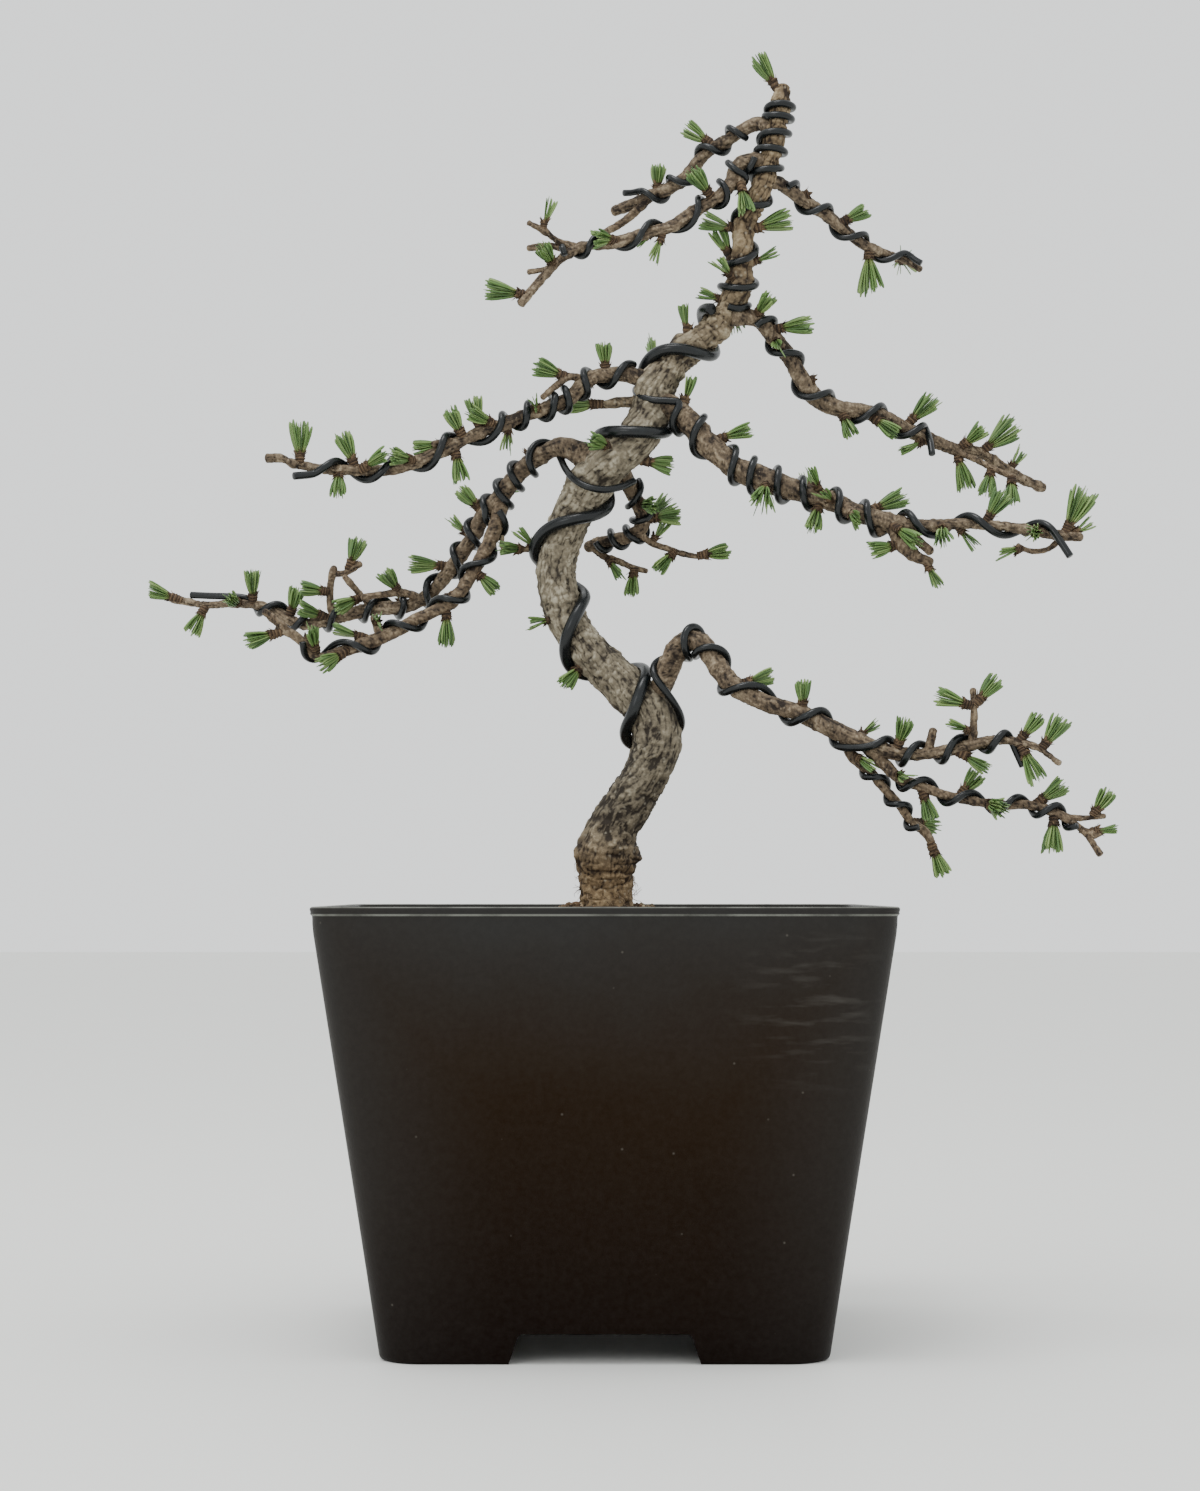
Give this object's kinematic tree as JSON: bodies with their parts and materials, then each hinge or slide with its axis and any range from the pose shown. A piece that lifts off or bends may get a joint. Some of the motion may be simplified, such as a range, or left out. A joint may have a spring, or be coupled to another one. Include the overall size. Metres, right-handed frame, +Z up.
{
  "type": "potted larch bonsai",
  "caption": "Small larch bonsai in spring leaf, its curved trunk and spreading branches wound with training wire, growing in a tapered square plastic pot.",
  "frame": {"origin": "centre of the pot's base, at the level that the pot stands on", "axes": "+Z up along the tree, -Y toward the viewer of the tree's front, +X to that viewer's right"},
  "size_m": [0.3217, 0.1816, 0.4262],
  "materials": {
    "pot_plastic": "dark brown satin plastic with faint scuffs",
    "soil": "moist gritty potting soil",
    "bark": "grey-brown larch bark, browner and cracked at the base",
    "shoots": "brown twigs with tufts of fresh green needles",
    "wire": "near-black satin training wire"
  },
  "bodies": {
    "root": {"pot": "pot_plastic", "soil": "soil", "trunk": "bark", "branch_lower_right": "shoots", "branch_mid_right": "shoots", "branch_upper_right": "shoots", "branch_top_right": "shoots", "branch_top_left": "shoots", "branch_high_left": "shoots", "branch_upper_left": "shoots", "branch_lower_left": "shoots", "branch_back": "shoots", "wire_trunk": "wire", "wire_crown": "wire", "wire_lower_right": "wire", "wire_lower_right_mid": "wire", "wire_lower_right_low": "wire", "wire_mid_right": "wire", "wire_upper_right": "wire", "wire_top_right": "wire", "wire_top_left": "wire", "wire_high_left": "wire", "wire_upper_left": "wire", "wire_lower_left": "wire", "wire_lower_left_under": "wire", "wire_back": "wire"}
  },
  "joints": []
}
